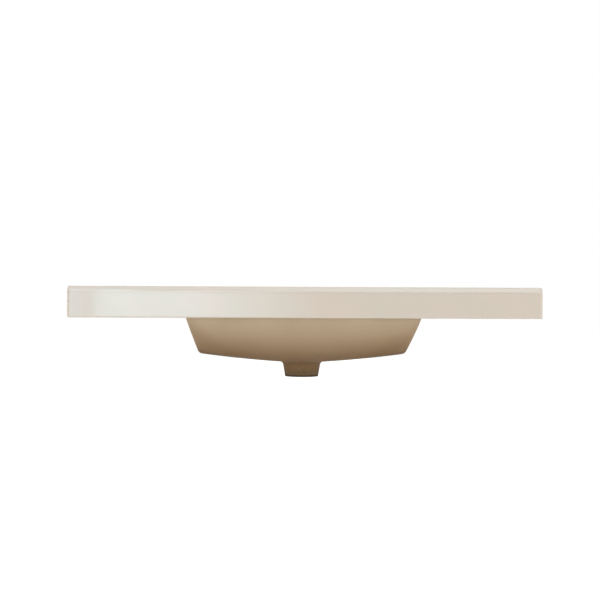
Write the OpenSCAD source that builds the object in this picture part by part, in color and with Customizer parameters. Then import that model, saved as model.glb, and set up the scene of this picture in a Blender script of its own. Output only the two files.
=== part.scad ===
// Vanity top with an integrated sink: a thick-edged deck of glazed panels, built up on a rail frame,
// with a cast bowl sealed and clamped under its mouth. Millimetres, +Z up.
// The origin is the middle of the back bottom edge: Y = 0 is the wall, Z = 0 is the cabinet's seat,
// and the front face looks along -Y.

/* [Top] */
// Width of the top across its front
top_w = 940; // [860:5:1240]
// Depth of the top, from the wall to its front face
top_d = 559; // [550:1:600]
// Height of the edge, from the cabinet's seat up to the deck's surface
edge_h = 62; // [54:1:80]
// Thickness of the deck panel
deck_t = 12; // [10:0.5:16]
// Thickness of the three apron strips
apron_t = 12; // [10:0.5:14]
// Radius of the two upright corners at the front
corner_r = 5; // [4.5:0.5:8]
// Radius that eases the deck's top edge
top_ease_r = 3; // [1:0.5:4]
// Radius that eases the aprons' bottom edge
bottom_ease_r = 1; // [0.5:0.5:3]
// Radius that eases both sides of the seam between deck and aprons
seam_ease_r = 0.5; // [0.2:0.1:1]

/* [Basin] */
// Width of the basin's mouth
basin_w = 492; // [440:2:560]
// Distance from the top's front face to the mouth
front_margin = 115; // [100:1:130]
// Distance from the wall to the mouth
rear_margin = 135; // [132:1:150]
// Radius of the mouth's corners
mouth_corner_r = 32; // [24:1:50]
// Radius that eases the mouth's top edge
mouth_ease_r = 4; // [2:0.5:6]
// Radius of the upright corners of the bowl's outside, at its rim
shell_corner_r = 12; // [8:1:36]
// Depth of the basin, from the deck's surface down to its outlet
basin_depth = 149; // [135:1:160]
// Lean of the two end walls from upright, in degrees
end_lean = 16; // [10:0.5:24]
// Rise of the floor from the outlet to the foot of an end wall
floor_rise = 18.5; // [10:0.5:24]
// Thickness of the bowl's wall and floor
wall_t = 12; // [9:0.5:14]
// Width of the flange around the bowl's rim
flange_w = 25; // [20:1:27]
// Thickness of the flange
flange_t = 10; // [7:0.5:14]
// Thickness of the silicone between the flange and the deck
seal_t = 1; // [0.5:0.1:2]
// Width of the silicone bead
seal_w = 16; // [10:1:20]

/* [Outlet] */
// Distance from the wall to the outlet's axis
drain_from_wall = 279; // [270:1:290]
// Bore of the outlet, which takes the waste fitting
drain_bore_d = 45; // [42:0.5:48]
// Diameter of the boss at its mouth
boss_d = 72; // [68:1:84]
// Height of the boss below the bowl's floor
boss_h = 33; // [28:1:45]
// Lean of the boss's side from upright, in degrees
boss_lean = 6.5; // [0:0.5:10]
// Radius of the fillet between the boss and the bowl
boss_fillet_r = 10; // [4:0.5:12]
// Diameter of the seat for the waste fitting's flange
waste_seat_d = 66; // [62:1:70]
// Depth of that seat
waste_seat_h = 2.5; // [1.5:0.5:4]

/* [Overflow] */
// Drop from the deck's surface to the overflow's axis
overflow_drop = 45; // [42:1:54]
// Bore through the bowl's rear wall
overflow_bore_d = 25; // [22:0.5:28]
// Diameter of the ring's flange
ring_d = 33; // [31:0.5:38]
// Thickness of the ring's flange
ring_t = 2.5; // [2:0.5:4]
// Thickness of the gasket behind it
gasket_t = 1; // [0.5:0.5:1.5]
// Clear opening through the ring
ring_opening_d = 19; // [15:0.5:20]
// Length of the ring's sleeve
ring_sleeve = 8; // [5:0.5:10]
// Width of the duct behind the bowl
duct_w = 50; // [44:1:60]
// Depth of the duct behind the bowl
duct_depth = 20; // [17:0.5:22]
// Thickness of the duct's wall
duct_t = 4; // [3:0.5:5]
// Width of the port from the duct into the outlet
port_w = 22; // [16:1:26]
// Height of that port
port_h = 9; // [6:0.5:11]

/* [Faucet holes] */
// Diameter of the three faucet holes
faucet_hole_d = 35; // [32:0.5:38]
// Distance between the outer two holes
faucet_spread = 203.2; // [200:0.1:210]
// Distance from the wall to the holes
faucet_from_wall = 66; // [60:1:72]

/* [Frame] */
// Width of each rail under the deck
rail_w = 22; // [18:1:24]
// Gap between the bowl's flange and the cross rail beside it
cross_gap = 20; // [18:1:40]

/* [Bowl clips] */
// Diameter of the brass inserts bonded into the deck
insert_d = 9; // [8.5:0.5:10]
// Height of the inserts
insert_h = 7; // [5:0.5:8]
// Diameter of the studs screwed into them
stud_d = 6; // [5:0.5:7]
// Width of a clip along the flange
clip_w = 18; // [14:1:24]
// Thickness of a clip
clip_t = 3; // [2:0.5:4]
// Bite of a clip under the flange
clip_bite = 12; // [8:1:16]
// Diameter of a washer
washer_d = 14; // [12:0.5:16]
// Thickness of a washer
washer_t = 1.2; // [1:0.1:2]
// Thickness of a clip's nut
nut_h = 5; // [4:0.5:7]
// Width of a nut across its flats
nut_flats = 10; // [9:0.5:12]

/* [Hidden] */
$fn = 64;

// How far a cutter runs past what it cuts
past = 1;
// Clearance of an insert, a stud or a sleeve in its hole, on the radius
hole_gap = 0.2;
// Clearance of a thread on its stud, on the radius
thread_gap = 0.05;
// Clearance between the duct's end and the boss
duct_gap = 0.2;
// Room between the flange and a clip's stud, and between the stud and the clip's leg
stud_room = 3;
leg_room = 2;
// How far a stud stands out of its nut, and stops short of its insert's blind end
stud_tip = 3;
stud_end_gap = 0.5;
// Distance from a clip to the start of the flange's corner
clip_from_corner = 8;
// Room above the overflow's bore inside the duct
duct_head_room = 2;
// Drop from the bowl's underside to the port
port_drop = 2;
// How far the overflow ring's seat lies behind the mouth's rear edge
ring_seat_depth = 0.5;

// Levels
under_z = edge_h - deck_t;
rim_z = under_z - seal_t;
floor_z = edge_h - basin_depth;
bowl_under_z = floor_z - wall_t;
boss_mouth_z = bowl_under_z - boss_h;
overflow_z = edge_h - overflow_drop;
clip_z = rim_z - flange_t;
washer_z = clip_z - clip_t;
nut_z = washer_z - washer_t;

// The mouth, measured from the outlet's axis
axis_y = -drain_from_wall;
mouth_front = top_d - front_margin - drain_from_wall;
mouth_rear = drain_from_wall - rear_margin;
half_mouth = basin_w / 2;
// The outer wall at the rim, where an end wall's lean makes it wider than its thickness
half_shell = half_mouth + wall_t / cos(end_lean);
shell_front = mouth_front + wall_t;
shell_rear = mouth_rear + wall_t;
flange_half = half_shell + flange_w;
flange_front = shell_front + flange_w;
flange_rear = shell_rear + flange_w;
flange_corner_r = mouth_corner_r + wall_t + flange_w;

// Shape of the bowl: fullness of its front and rear walls, and how its plan corners open with depth
front_fullness = 2;
rear_fullness = 3;
corner_growth = 2.5;
widest_corner = 0.94;
// Share of the floor's rise that comes from its bow, the rest being a plain slope
floor_bow = 0.37;
// Length of the blend between an end wall and the floor, outside and inside
foot_outside = 6;
foot_inside = 22;
// Flat ring around the outlet, inside past the waste's seat and outside past the boss's fillet
ring_inside = 4;
ring_outside = 2;
boss_top_r = boss_d / 2 + boss_h * tan(boss_lean);
hub_inside = waste_seat_d / 2 + ring_inside;
hub_outside = boss_top_r + boss_fillet_r + ring_outside;
// Steps of the bowl's facets
wall_steps = 9;
foot_steps = 4;
floor_steps = 6;
corner_steps = 9;

// Distance from the flange's edge out to a clip's stud and to its leg
stud_from_flange = stud_room + stud_d / 2;
leg_from_flange = stud_room + stud_d + leg_room;
// Place of each clip and the way that it faces, away from the basin: the front ones half way to the
// corners, the rear ones by the corners and clear of the duct, the side ones a third of the mouth apart
front_clip_x = half_mouth / 2;
rear_clip_x = flange_half - flange_corner_r - clip_from_corner - clip_w / 2;
side_clip_y = (mouth_front + mouth_rear) / 6;
mouth_mid_y = axis_y + (mouth_rear - mouth_front) / 2;
clip_places = [for (side = [-1, 1]) each [
    [side * front_clip_x, axis_y - flange_front, 180],
    [side * rear_clip_x, axis_y + flange_rear, 0],
    [side * flange_half, mouth_mid_y - side_clip_y, -90 * side],
    [side * flange_half, mouth_mid_y + side_clip_y, -90 * side]]];

// Colours
glaze = [0.93, 0.915, 0.885];
raw_clay = [0.70, 0.61, 0.50];
duct_plastic = [0.86, 0.85, 0.82];
plywood = [0.74, 0.60, 0.42];
steel = [0.66, 0.67, 0.68];
brass = [0.80, 0.66, 0.36];
chrome = [0.83, 0.84, 0.86];
silicone = [0.90, 0.89, 0.86];
rubber = [0.16, 0.16, 0.16];

function mix(a, b, t) = a + (b - a) * t;

// Rectangle with round corners, from its corner points
module round_rect(x0, x1, y0, y1, r) {
    translate([x0 + r, y0]) square([x1 - x0 - 2 * r, y1 - y0]);
    translate([x0, y0 + r]) square([x1 - x0, y1 - y0 - 2 * r]);
    for (x = [x0 + r, x1 - r], y = [y0 + r, y1 - r]) translate([x, y]) circle(r);
}

// What a quarter round of radius r takes off a square edge, the edge being at the origin
module spandrel(r) {
    difference() {
        translate([-r, -r]) square(r + past);
        translate([-r, -r]) circle(r);
    }
}

// Cutter that eases the top edge of a plate, or of a hole in one, with round corners of radius rc
module ease(x0, x1, y0, y1, rc, r, hole = false) {
    middle = [(x0 + x1) / 2, (y0 + y1) / 2];
    half = [(x1 - x0) / 2, (y1 - y0) / 2];
    for (k = [0:3]) {
        // The straight run on side k, starting with the one at y1, and the corner that follows it
        along = half[k % 2];
        away = half[(k + 1) % 2];
        translate(middle) rotate(90 * k) {
            translate([0, away, 0]) rotate([90, 0, hole ? 270 : 90])
                linear_extrude(2 * (along - rc), center = true) spandrel(r);
            translate([rc - along, away - rc, 0]) rotate(90) rotate_extrude(angle = 90)
                translate([rc, 0]) mirror([hole ? 1 : 0, 0]) spandrel(r);
        }
    }
}

// Outline of the top: round at its two front corners and cut square at the wall
behind_wall = corner_r + 2 * top_ease_r;
module top_outline() {
    difference() {
        round_rect(-top_w / 2, top_w / 2, -top_d, behind_wall, corner_r);
        translate([-top_w, 0]) square([2 * top_w, 2 * behind_wall]);
    }
}

module ease_outline(r) ease(-top_w / 2, top_w / 2, -top_d, behind_wall, corner_r, r);

module mouth_outline(grow) {
    round_rect(-half_mouth - grow, half_mouth + grow, axis_y - mouth_front - grow,
               axis_y + mouth_rear + grow, mouth_corner_r + grow);
}

// Deck: the glazed panel with the basin's mouth, three faucet holes and the inserts' blind holes
module deck_panel() {
    color(glaze) difference() {
        translate([0, 0, under_z]) linear_extrude(deck_t) top_outline();
        translate([0, 0, edge_h]) ease_outline(top_ease_r);
        translate([0, 0, under_z]) mirror([0, 0, 1]) ease_outline(seam_ease_r);
        translate([0, 0, under_z - past]) linear_extrude(deck_t + 2 * past) mouth_outline(0);
        translate([0, 0, edge_h])
            ease(-half_mouth, half_mouth, axis_y - mouth_front, axis_y + mouth_rear,
                 mouth_corner_r, mouth_ease_r, hole = true);
        for (x = [-faucet_spread / 2, 0, faucet_spread / 2])
            translate([x, -faucet_from_wall, under_z - past])
                cylinder(d = faucet_hole_d, h = deck_t + 2 * past);
        at_studs(under_z - past) cylinder(d = insert_d + 2 * hole_gap, h = insert_h + past);
    }
}

// Apron strips: glazed panel on edge around the front and the two ends, mitred where they meet
module apron_band() {
    difference() {
        linear_extrude(under_z) difference() {
            top_outline();
            translate([-top_w / 2 + apron_t, -top_d + apron_t]) square([top_w - 2 * apron_t, top_d]);
        }
        mirror([0, 0, 1]) ease_outline(bottom_ease_r);
        translate([0, 0, under_z]) ease_outline(seam_ease_r);
    }
}

// What the two mitres leave of the band, for one strip's own plan outline
module apron_strip(outline) {
    color(glaze) intersection() {
        apron_band();
        translate([0, 0, -past]) linear_extrude(under_z + 2 * past) polygon(outline);
    }
}

// Points on a front corner's mitre, outside the corner and inside the band
function mitre_out(side) = [side * (top_w / 2 + past), -top_d - past];
function mitre_in(side) = [side * (top_w / 2 - apron_t - past), -top_d + apron_t + past];

function end_outline(side) =
    [mitre_out(side), mitre_in(side), [mitre_in(side)[0], past], [mitre_out(side)[0], past]];

module front_apron() apron_strip([mitre_out(-1), mitre_in(-1), mitre_in(1), mitre_out(1)]);
module left_apron() apron_strip(end_outline(-1));
module right_apron() apron_strip(end_outline(1));

// Rails: plywood under the deck, front and rear right across and the others between those two
module rail(x0, x1, y0, y1) {
    color(plywood) translate([x0, y0, 0]) cube([x1 - x0, y1 - y0, under_z]);
}

inner_half = top_w / 2 - apron_t;
between_front = -top_d + apron_t + rail_w;
between_rear = -rail_w;
cross_from = flange_half + cross_gap;

module front_rail() rail(-inner_half, inner_half, -top_d + apron_t, between_front);
module rear_rail() rail(-inner_half, inner_half, between_rear, 0);
module left_rail() rail(-inner_half, -inner_half + rail_w, between_front, between_rear);
module right_rail() rail(inner_half - rail_w, inner_half, between_front, between_rear);
module left_cross_rail() rail(-cross_from - rail_w, -cross_from, between_front, between_rear);
module right_cross_rail() rail(cross_from, cross_from + rail_w, between_front, between_rear);

// End wall and floor of the bowl as [half width, level], from the rim to the hub around the outlet
function end_profile(half_w, bottom_z, hub, foot) =
    let (lean = tan(end_lean),
         foot_z = bottom_z + floor_rise,
         foot_x = half_w - lean * (rim_z - foot_z),
         run = foot_x - hub,
         floor_at = function(t) [hub + run * t, bottom_z + floor_rise * mix(t, t * t, floor_bow)],
         corner = [foot_x, foot_z],
         wall_end = corner + foot * [sin(end_lean), cos(end_lean)],
         floor_end = floor_at(1 - foot / run))
    concat(
        [for (k = [0:wall_steps - 1]) let (z = mix(rim_z, wall_end[1], k / wall_steps))
            [half_w - lean * (rim_z - z), z]],
        [for (k = [0:foot_steps]) let (t = k / foot_steps)
            mix(mix(wall_end, corner, t), mix(corner, floor_end, t), t)],
        [for (k = [1:floor_steps]) floor_at((1 - foot / run) * (1 - k / floor_steps))]);

// Reach of the front or rear wall from the outlet's axis, at a share of the bowl's depth
function reach_at(at_rim, hub, share, fullness) =
    hub + (at_rim - hub) * pow(max(0, 1 - pow(share, fullness)), 1 / fullness);

function share_at(z, bottom_z) = (rim_z - z) / (rim_z - bottom_z);

function corner_arc(x, y, r, start) =
    [for (k = [0:corner_steps]) let (a = start + 90 * k / corner_steps) [x + r * cos(a), y + r * sin(a)]];

// One level of the bowl: a rectangle around the outlet's axis whose corners open as it goes down
function bowl_level(half_w, front, rear, corner, share) =
    let (opening = pow(share, corner_growth),
         rf = min(mix(corner, front, opening), widest_corner * min(front, half_w)),
         rr = min(mix(corner, rear, opening), widest_corner * min(rear, half_w)))
    concat(corner_arc(half_w - rr, rear - rr, rr, 0), corner_arc(rr - half_w, rear - rr, rr, 90),
           corner_arc(rf - half_w, rf - front, rf, 180), corner_arc(half_w - rf, rf - front, rf, 270));

function bowl_levels(half_w, front, rear, corner, bottom_z, hub, foot) =
    [for (p = end_profile(half_w, bottom_z, hub, foot)) let (share = share_at(p[1], bottom_z))
        [for (q = bowl_level(p[0], reach_at(front, hub, share, front_fullness),
                             reach_at(rear, hub, share, rear_fullness), corner, share))
            [q[0], q[1] + axis_y, p[1]]]];

// Closed solid through a stack of level outlines, top first
module stack(levels) {
    n = len(levels[0]);
    last = (len(levels) - 1) * n;
    polyhedron(
        points = [for (level = levels) each level],
        faces = concat(
            [[for (k = [n - 1:-1:0]) k]],
            [for (j = [0:len(levels) - 2], k = [0:n - 1])
                let (a = j * n + k, b = j * n + (k + 1) % n) each [[a, b, b + n], [a, b + n, a + n]]],
            [[for (k = [0:n - 1]) last + k]]),
        convexity = 4);
}

module shell_outside() {
    stack(bowl_levels(half_shell, shell_front, shell_rear, shell_corner_r,
                      bowl_under_z, hub_outside, foot_outside));
}

// The basin's space, carried straight up past the rim
module basin_space() {
    levels = bowl_levels(half_mouth, mouth_front, mouth_rear, mouth_corner_r,
                         floor_z, hub_inside, foot_inside);
    stack(concat([[for (p = levels[0]) [p[0], p[1], p[2] + past]]], levels));
}

// Boss under the outlet, with its fillet to the bowl, grown by a clearance where something meets it
module boss(grow = 0) {
    top_r = boss_top_r + grow;
    translate([0, axis_y, 0]) rotate_extrude() difference() {
        union() {
            polygon([[0, boss_mouth_z], [boss_d / 2 + grow, boss_mouth_z], [top_r, bowl_under_z],
                     [top_r, floor_z - waste_seat_h], [0, floor_z - waste_seat_h]]);
            translate([0, bowl_under_z - boss_fillet_r])
                square([top_r + boss_fillet_r, boss_fillet_r + wall_t / 2]);
        }
        translate([top_r + boss_fillet_r, bowl_under_z - boss_fillet_r]) circle(boss_fillet_r);
    }
}

// Bowl: the cast shell with its flange, its boss and the bores of the outlet and the overflow
module bowl() {
    color(raw_clay) difference() {
        union() {
            translate([0, 0, clip_z]) linear_extrude(flange_t)
                round_rect(-flange_half, flange_half, axis_y - flange_front, axis_y + flange_rear,
                           flange_corner_r);
            shell_outside();
            boss();
        }
        basin_space();
        translate([0, axis_y, boss_mouth_z - past]) cylinder(d = drain_bore_d, h = basin_depth);
        translate([0, axis_y, floor_z - waste_seat_h]) cylinder(d = waste_seat_d, h = waste_seat_h + past);
        overflow_axis() {
            translate([0, 0, -wall_t]) cylinder(d = overflow_bore_d, h = 3 * wall_t);
            translate([0, 0, -wall_t]) cylinder(d = ring_d + 2 * hole_gap, h = wall_t);
        }
        translate([-port_w / 2, axis_y, port_z]) cube([port_w, hub_outside, port_h]);
    }
}

// Places what lies on the overflow's axis, from the ring's seat and looking along +Y
module overflow_axis() {
    translate([0, axis_y + mouth_rear + ring_seat_depth, overflow_z]) rotate([-90, 0, 0]) children();
}

// Silicone bead between the flange and the deck
module bowl_seal() {
    color(silicone) translate([0, 0, rim_z]) linear_extrude(seal_t) difference() {
        mouth_outline(seal_w);
        mouth_outline(hole_gap);
    }
}

// Duct: a channel that follows the bowl's rear wall from the overflow down to the outlet's port
duct_top_z = overflow_z + overflow_bore_d / 2 + duct_head_room + duct_t;
port_z = bowl_under_z - port_drop - port_h;

rear_wall = [for (p = end_profile(half_shell, bowl_under_z, hub_outside, foot_outside))
    [reach_at(shell_rear, hub_outside, share_at(p[1], bowl_under_z), rear_fullness), p[1]]];

// The rear wall's line from a level down to the boss
function wall_line(top_z) =
    let (k = [for (j = [1:len(rear_wall) - 1]) if (rear_wall[j][1] < top_z) j][0],
         t = (rear_wall[k - 1][1] - top_z) / (rear_wall[k - 1][1] - rear_wall[k][1]))
    concat([mix(rear_wall[k - 1], rear_wall[k], t)],
           [for (j = [k:len(rear_wall) - 1]) rear_wall[j]],
           [[boss_d / 2 - wall_t / 2, bowl_under_z]]);

// That line moved out from the bowl, square to itself
function moved_out(line, d) =
    [for (j = [0:len(line) - 1])
        let (step = line[min(j + 1, len(line) - 1)] - line[max(j - 1, 0)], length = norm(step))
        line[j] + d * [-step[1], step[0]] / length];

// A band that follows the wall's line between two distances from the bowl
module duct_band(top_z, start, depth, width) {
    line = wall_line(top_z);
    away = moved_out(line, depth);
    translate([0, axis_y, 0]) rotate([90, 0, 90]) linear_extrude(width, center = true)
        polygon(concat(moved_out(line, start), [for (j = [len(away) - 1:-1:0]) away[j]]));
}

module overflow_duct() {
    color(duct_plastic) difference() {
        duct_band(duct_top_z, 0, duct_depth, duct_w);
        duct_band(duct_top_z - duct_t, -past, duct_depth - duct_t, duct_w - 2 * duct_t);
        boss(duct_gap);
    }
}

// Overflow ring: a plated flange with a sleeve that pushes into the wall's bore, on a rubber gasket
sleeve_d = overflow_bore_d - 2 * hole_gap;
module overflow_ring() {
    color(chrome) overflow_axis() translate([0, 0, -gasket_t]) difference() {
        union() {
            translate([0, 0, -ring_t]) cylinder(d = ring_d, h = ring_t);
            cylinder(d = sleeve_d, h = ring_sleeve);
        }
        translate([0, 0, -ring_t - past])
            cylinder(d = ring_opening_d, h = ring_t + ring_sleeve + 2 * past);
    }
}

module ring_gasket() {
    color(rubber) overflow_axis() translate([0, 0, -gasket_t]) difference() {
        cylinder(d = ring_d, h = gasket_t);
        translate([0, 0, -past]) cylinder(d = sleeve_d + 2 * hole_gap, h = gasket_t + 2 * past);
    }
}

// Clips: each hooks from the deck to the flange and is drawn up by a nut on its stud
module at_clips() {
    for (place = clip_places) translate([place[0], place[1], 0]) rotate(place[2]) children();
}

module at_studs(z) {
    at_clips() translate([0, stud_from_flange, z]) children();
}

module clip_inserts() {
    color(brass) at_studs(under_z) difference() {
        cylinder(d = insert_d, h = insert_h);
        translate([0, 0, -past]) cylinder(d = stud_d + 2 * thread_gap, h = insert_h + 2 * past);
    }
}

module clip_studs() {
    stud_z = nut_z - nut_h - stud_tip;
    color(steel) at_studs(stud_z) cylinder(d = stud_d, h = under_z + insert_h - stud_end_gap - stud_z);
}

module bowl_clips() {
    color(steel) at_clips() difference() {
        union() {
            translate([-clip_w / 2, -clip_bite, washer_z])
                cube([clip_w, clip_bite + leg_from_flange + clip_t, clip_t]);
            translate([-clip_w / 2, leg_from_flange, washer_z])
                cube([clip_w, clip_t, under_z - washer_z]);
        }
        translate([0, stud_from_flange, washer_z - past])
            cylinder(d = stud_d + 2 * hole_gap, h = clip_t + 2 * past);
    }
}

module clip_washers() {
    color(steel) at_studs(nut_z) difference() {
        cylinder(d = washer_d, h = washer_t);
        translate([0, 0, -past]) cylinder(d = stud_d + 2 * hole_gap, h = washer_t + 2 * past);
    }
}

module clip_nuts() {
    color(steel) at_studs(nut_z - nut_h) difference() {
        cylinder(d = nut_flats / cos(30), h = nut_h, $fn = 6);
        translate([0, 0, -past]) cylinder(d = stud_d + 2 * thread_gap, h = nut_h + 2 * past);
    }
}

deck_panel();
front_apron();
left_apron();
right_apron();
front_rail();
rear_rail();
left_rail();
right_rail();
left_cross_rail();
right_cross_rail();
bowl();
bowl_seal();
overflow_duct();
overflow_ring();
ring_gasket();
clip_inserts();
clip_studs();
bowl_clips();
clip_washers();
clip_nuts();
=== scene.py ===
# A vanity top with an integrated sink, dressed in the order that it is put together: the glazed deck
# and its aprons, the rail frame, the cast bowl on its silicone bead, the clips that hold the bowl, and
# the overflow. Metres, +Z up: Y = 0 is the wall, Z = 0 the cabinet's seat, and the front looks along -Y.
import math

import bmesh
import bpy
from mathutils import Matrix, Vector


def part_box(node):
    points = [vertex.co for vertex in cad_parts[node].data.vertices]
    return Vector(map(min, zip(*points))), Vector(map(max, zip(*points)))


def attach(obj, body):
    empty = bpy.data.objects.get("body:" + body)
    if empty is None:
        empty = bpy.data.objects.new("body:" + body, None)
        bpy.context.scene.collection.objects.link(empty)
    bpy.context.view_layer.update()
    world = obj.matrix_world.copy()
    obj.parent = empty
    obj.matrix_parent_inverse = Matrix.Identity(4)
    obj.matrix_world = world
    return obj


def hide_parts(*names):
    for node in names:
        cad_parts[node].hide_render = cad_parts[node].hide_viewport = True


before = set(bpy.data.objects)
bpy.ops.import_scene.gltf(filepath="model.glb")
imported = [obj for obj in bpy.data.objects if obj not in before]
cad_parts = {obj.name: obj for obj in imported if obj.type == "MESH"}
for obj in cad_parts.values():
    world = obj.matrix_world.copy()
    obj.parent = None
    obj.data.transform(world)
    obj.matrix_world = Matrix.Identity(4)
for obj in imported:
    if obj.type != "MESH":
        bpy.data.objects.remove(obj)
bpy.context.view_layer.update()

mm = 0.001
scene = bpy.context.scene
scene.view_settings.view_transform = "Standard"

# Camera: nearly three metres in front of the top and level with its deck, a little left of the middle.
# It is turned a touch to the right, tipped a touch down and barely off level, as the photograph shows.
eye = Vector((-0.090, -3.354, 0.063))
turned_right = math.radians(1.5998)
tipped_down = math.radians(0.556)
off_level = math.radians(0.25)
picture_px = 600
focal_px = 1417.9


def put(name, data):
    """A new object in the scene."""
    made = bpy.data.objects.new(name, data)
    scene.collection.objects.link(made)
    return made


lens = bpy.data.cameras.new("camera")
lens.sensor_width = 36.0
lens.lens = lens.sensor_width * focal_px / picture_px
lens.clip_end = 60.0
camera = put("camera", lens)
camera.matrix_world = (Matrix.Translation(eye) @ Matrix.Rotation(-turned_right, 4, "Z")
                       @ Matrix.Rotation(math.pi / 2 - tipped_down, 4, "X")
                       @ Matrix.Rotation(off_level, 4, "Z"))
scene.camera = camera

# Floor: plain and pale, as far below the top as a cabinet holds it up. What the camera sees of it is
# white where no shadow falls, and it runs out into white; what it throws back is dimmer and warm.
cabinet_height = 0.82
floor_reach = 14.0
floor_seen = (0.62, 0.62, 0.62, 1.0)
floor_bounce = (0.30, 0.245, 0.19, 1.0)
near_glow, far_glow = 0.50, 1.0
near, far = 0.8, 2.4


def add_node(tree, kind, feeds=None, **settings):
    """A new node with its settings; feeds names or numbers its inputs and gives each a socket or a value."""
    made = tree.nodes.new(kind)
    for name, value in settings.items():
        setattr(made, name, value)
    for key, value in (feeds or {}).items():
        if isinstance(value, bpy.types.NodeSocket):
            tree.links.new(value, made.inputs[key])
        else:
            made.inputs[key].default_value = value
    return made


def calc(tree, operation, *values, clamp=False):
    """The socket of one sum or comparison."""
    feeds = dict(enumerate(values))
    return add_node(tree, "ShaderNodeMath", feeds, operation=operation, use_clamp=clamp).outputs[0]


def ramp(tree, value, low, high, to_low=0.0, to_high=1.0):
    """A value spread from one range to another, and held there."""
    return add_node(tree, "ShaderNodeMapRange", {0: value, 1: low, 2: high, 3: to_low, 4: to_high}).outputs[0]


def seen_directly(tree):
    """1 for rays from the camera and for what shines in gloss or glass, 0 for the light that spreads."""
    rays = tree.nodes.new("ShaderNodeLightPath")
    direct = calc(tree, "MAXIMUM", rays.outputs["Is Camera Ray"], rays.outputs["Is Glossy Ray"])
    return calc(tree, "MAXIMUM", direct, rays.outputs["Is Transmission Ray"])


floor_look = bpy.data.materials.new("studio_floor")
floor_look.use_nodes = True
tree = floor_look.node_tree
tree.nodes.clear()
direct = seen_directly(tree)
tone = add_node(tree, "ShaderNodeMix", {0: direct, 6: floor_bounce, 7: floor_seen}, data_type="RGBA")
matt = add_node(tree, "ShaderNodeBsdfDiffuse", {"Color": tone.outputs[2]})
spot = add_node(tree, "ShaderNodeTexCoord").outputs["Object"]
flat_spot = add_node(tree, "ShaderNodeVectorMath", {0: spot, 1: (1.0, 1.0, 0.0)}, operation="MULTIPLY")
distance = add_node(tree, "ShaderNodeVectorMath", {0: flat_spot.outputs[0]}, operation="LENGTH")
spread = ramp(tree, distance.outputs["Value"], near, far, near_glow, far_glow)
glow = add_node(tree, "ShaderNodeEmission", {"Strength": calc(tree, "MULTIPLY", direct, spread)})
lit = add_node(tree, "ShaderNodeAddShader", {0: matt.outputs[0], 1: glow.outputs[0]})
behind = add_node(tree, "ShaderNodeNewGeometry").outputs["Backfacing"]
clear = add_node(tree, "ShaderNodeBsdfTransparent")
shown = add_node(tree, "ShaderNodeMixShader", {0: behind, 1: lit.outputs[0], 2: clear.outputs[0]})
add_node(tree, "ShaderNodeOutputMaterial", {"Surface": shown.outputs[0]})


def new_piece(name, points=(), faces=()):
    """An object with a mesh of its own, empty at first or made of those points and faces."""
    mesh = bpy.data.meshes.new(name)
    mesh.from_pydata(points, [], faces)
    return put(name, mesh)


corners = [(-1, -1), (1, -1), (1, 1), (-1, 1)]
floor = new_piece("floor", [(x * floor_reach, y * floor_reach, -cabinet_height) for x, y in corners],
                  [range(4)])
floor.data.materials.append(floor_look)

# Studio light: a broad warm panel behind the camera, three cool boxes to the left that the glazed front
# mirrors, a high one that the deck's edge mirrors, and weaker panels overhead, behind and at both ends.
sky = bpy.data.worlds.new("studio")
scene.world = sky
sky.use_nodes = True
tree = sky.node_tree
tree.nodes.clear()
ambient = add_node(tree, "ShaderNodeBackground", {"Color": (1.0, 0.985, 0.96, 1.0), "Strength": 0.34})
white = add_node(tree, "ShaderNodeBackground", {"Color": (1.0, 1.0, 1.0, 1.0), "Strength": 1.0})
both = add_node(tree, "ShaderNodeMixShader",
                {0: seen_directly(tree), 1: ambient.outputs[0], 2: white.outputs[0]})
add_node(tree, "ShaderNodeOutputWorld", {"Surface": both.outputs[0]})


def light_panel(name, place, aim, width, height, glow, colour=(1.0, 1.0, 1.0), mirrored=False, fade=None):
    """A flat soft lamp of that glow, where 1 is white. It shows in gloss only if it is mirrored.

    fade is (from, to, first, last): its glow runs from first to last between two shares of its width."""
    lamp = bpy.data.lights.new(name, "AREA")
    lamp.shape = "RECTANGLE"
    lamp.size, lamp.size_y = width, height
    lamp.energy = math.pi * width * height * glow
    lamp.color = colour
    if fade:
        lamp.use_nodes = True
        tree = lamp.node_tree
        spot = add_node(tree, "ShaderNodeNewGeometry").outputs["Parametric"]
        across = add_node(tree, "ShaderNodeSeparateXYZ", {0: spot}).outputs["X"]
        tree.links.new(ramp(tree, across, *fade), tree.nodes["Emission"].inputs["Strength"])
    panel = put(name, lamp)
    toward = Vector(aim) - Vector(place)
    panel.matrix_world = Matrix.Translation(place) @ toward.to_track_quat("-Z", "Y").to_matrix().to_4x4()
    panel.visible_glossy = mirrored


cool, colder = (0.58, 0.86, 1.0), (0.46, 0.75, 1.0)
left_boxes_y = -3.62
light_panel("front_panel", (0.2, -3.9, -0.06), (0.0, -0.5, 0.0), 5.0, 0.7, 5.0, (1.0, 0.96, 0.915))
for name, x, z, width, height, glow, colour, fade in (
        ("left_box", -0.22, 0.03, 0.76, 0.72, 5.3, cool, (0.26, 1.0, 1.0, 0.0)),
        ("left_tall_box", -0.69, 0.18, 0.18, 1.02, 5.8, cool, None),
        ("left_end_box", -0.875, 0.22, 0.12, 1.14, 4.1, colder, None)):
    light_panel(name, (x, left_boxes_y, z), (x, 0.0, z), width, height, glow, colour, True, fade)
light_panel("high_box", (0.10, -3.3, 0.95), (0.0, -0.55, 0.05), 2.2, 1.3, 2.7, (0.54, 0.80, 1.0), True,
            (0.40, 0.60, 0.65, 1.0))
light_panel("overhead_panel", (0.1, -0.2, 2.3), (0.0, -0.28, 0.0), 2.4, 1.8, 2.7, (0.90, 0.98, 1.0))
light_panel("right_panel", (2.9, -1.1, -0.1), (0.0, -0.4, 0.0), 1.8, 1.8, 3.7)
light_panel("left_panel", (-2.9, -1.1, -0.1), (0.0, -0.4, 0.0), 1.8, 1.8, 3.9)
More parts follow.
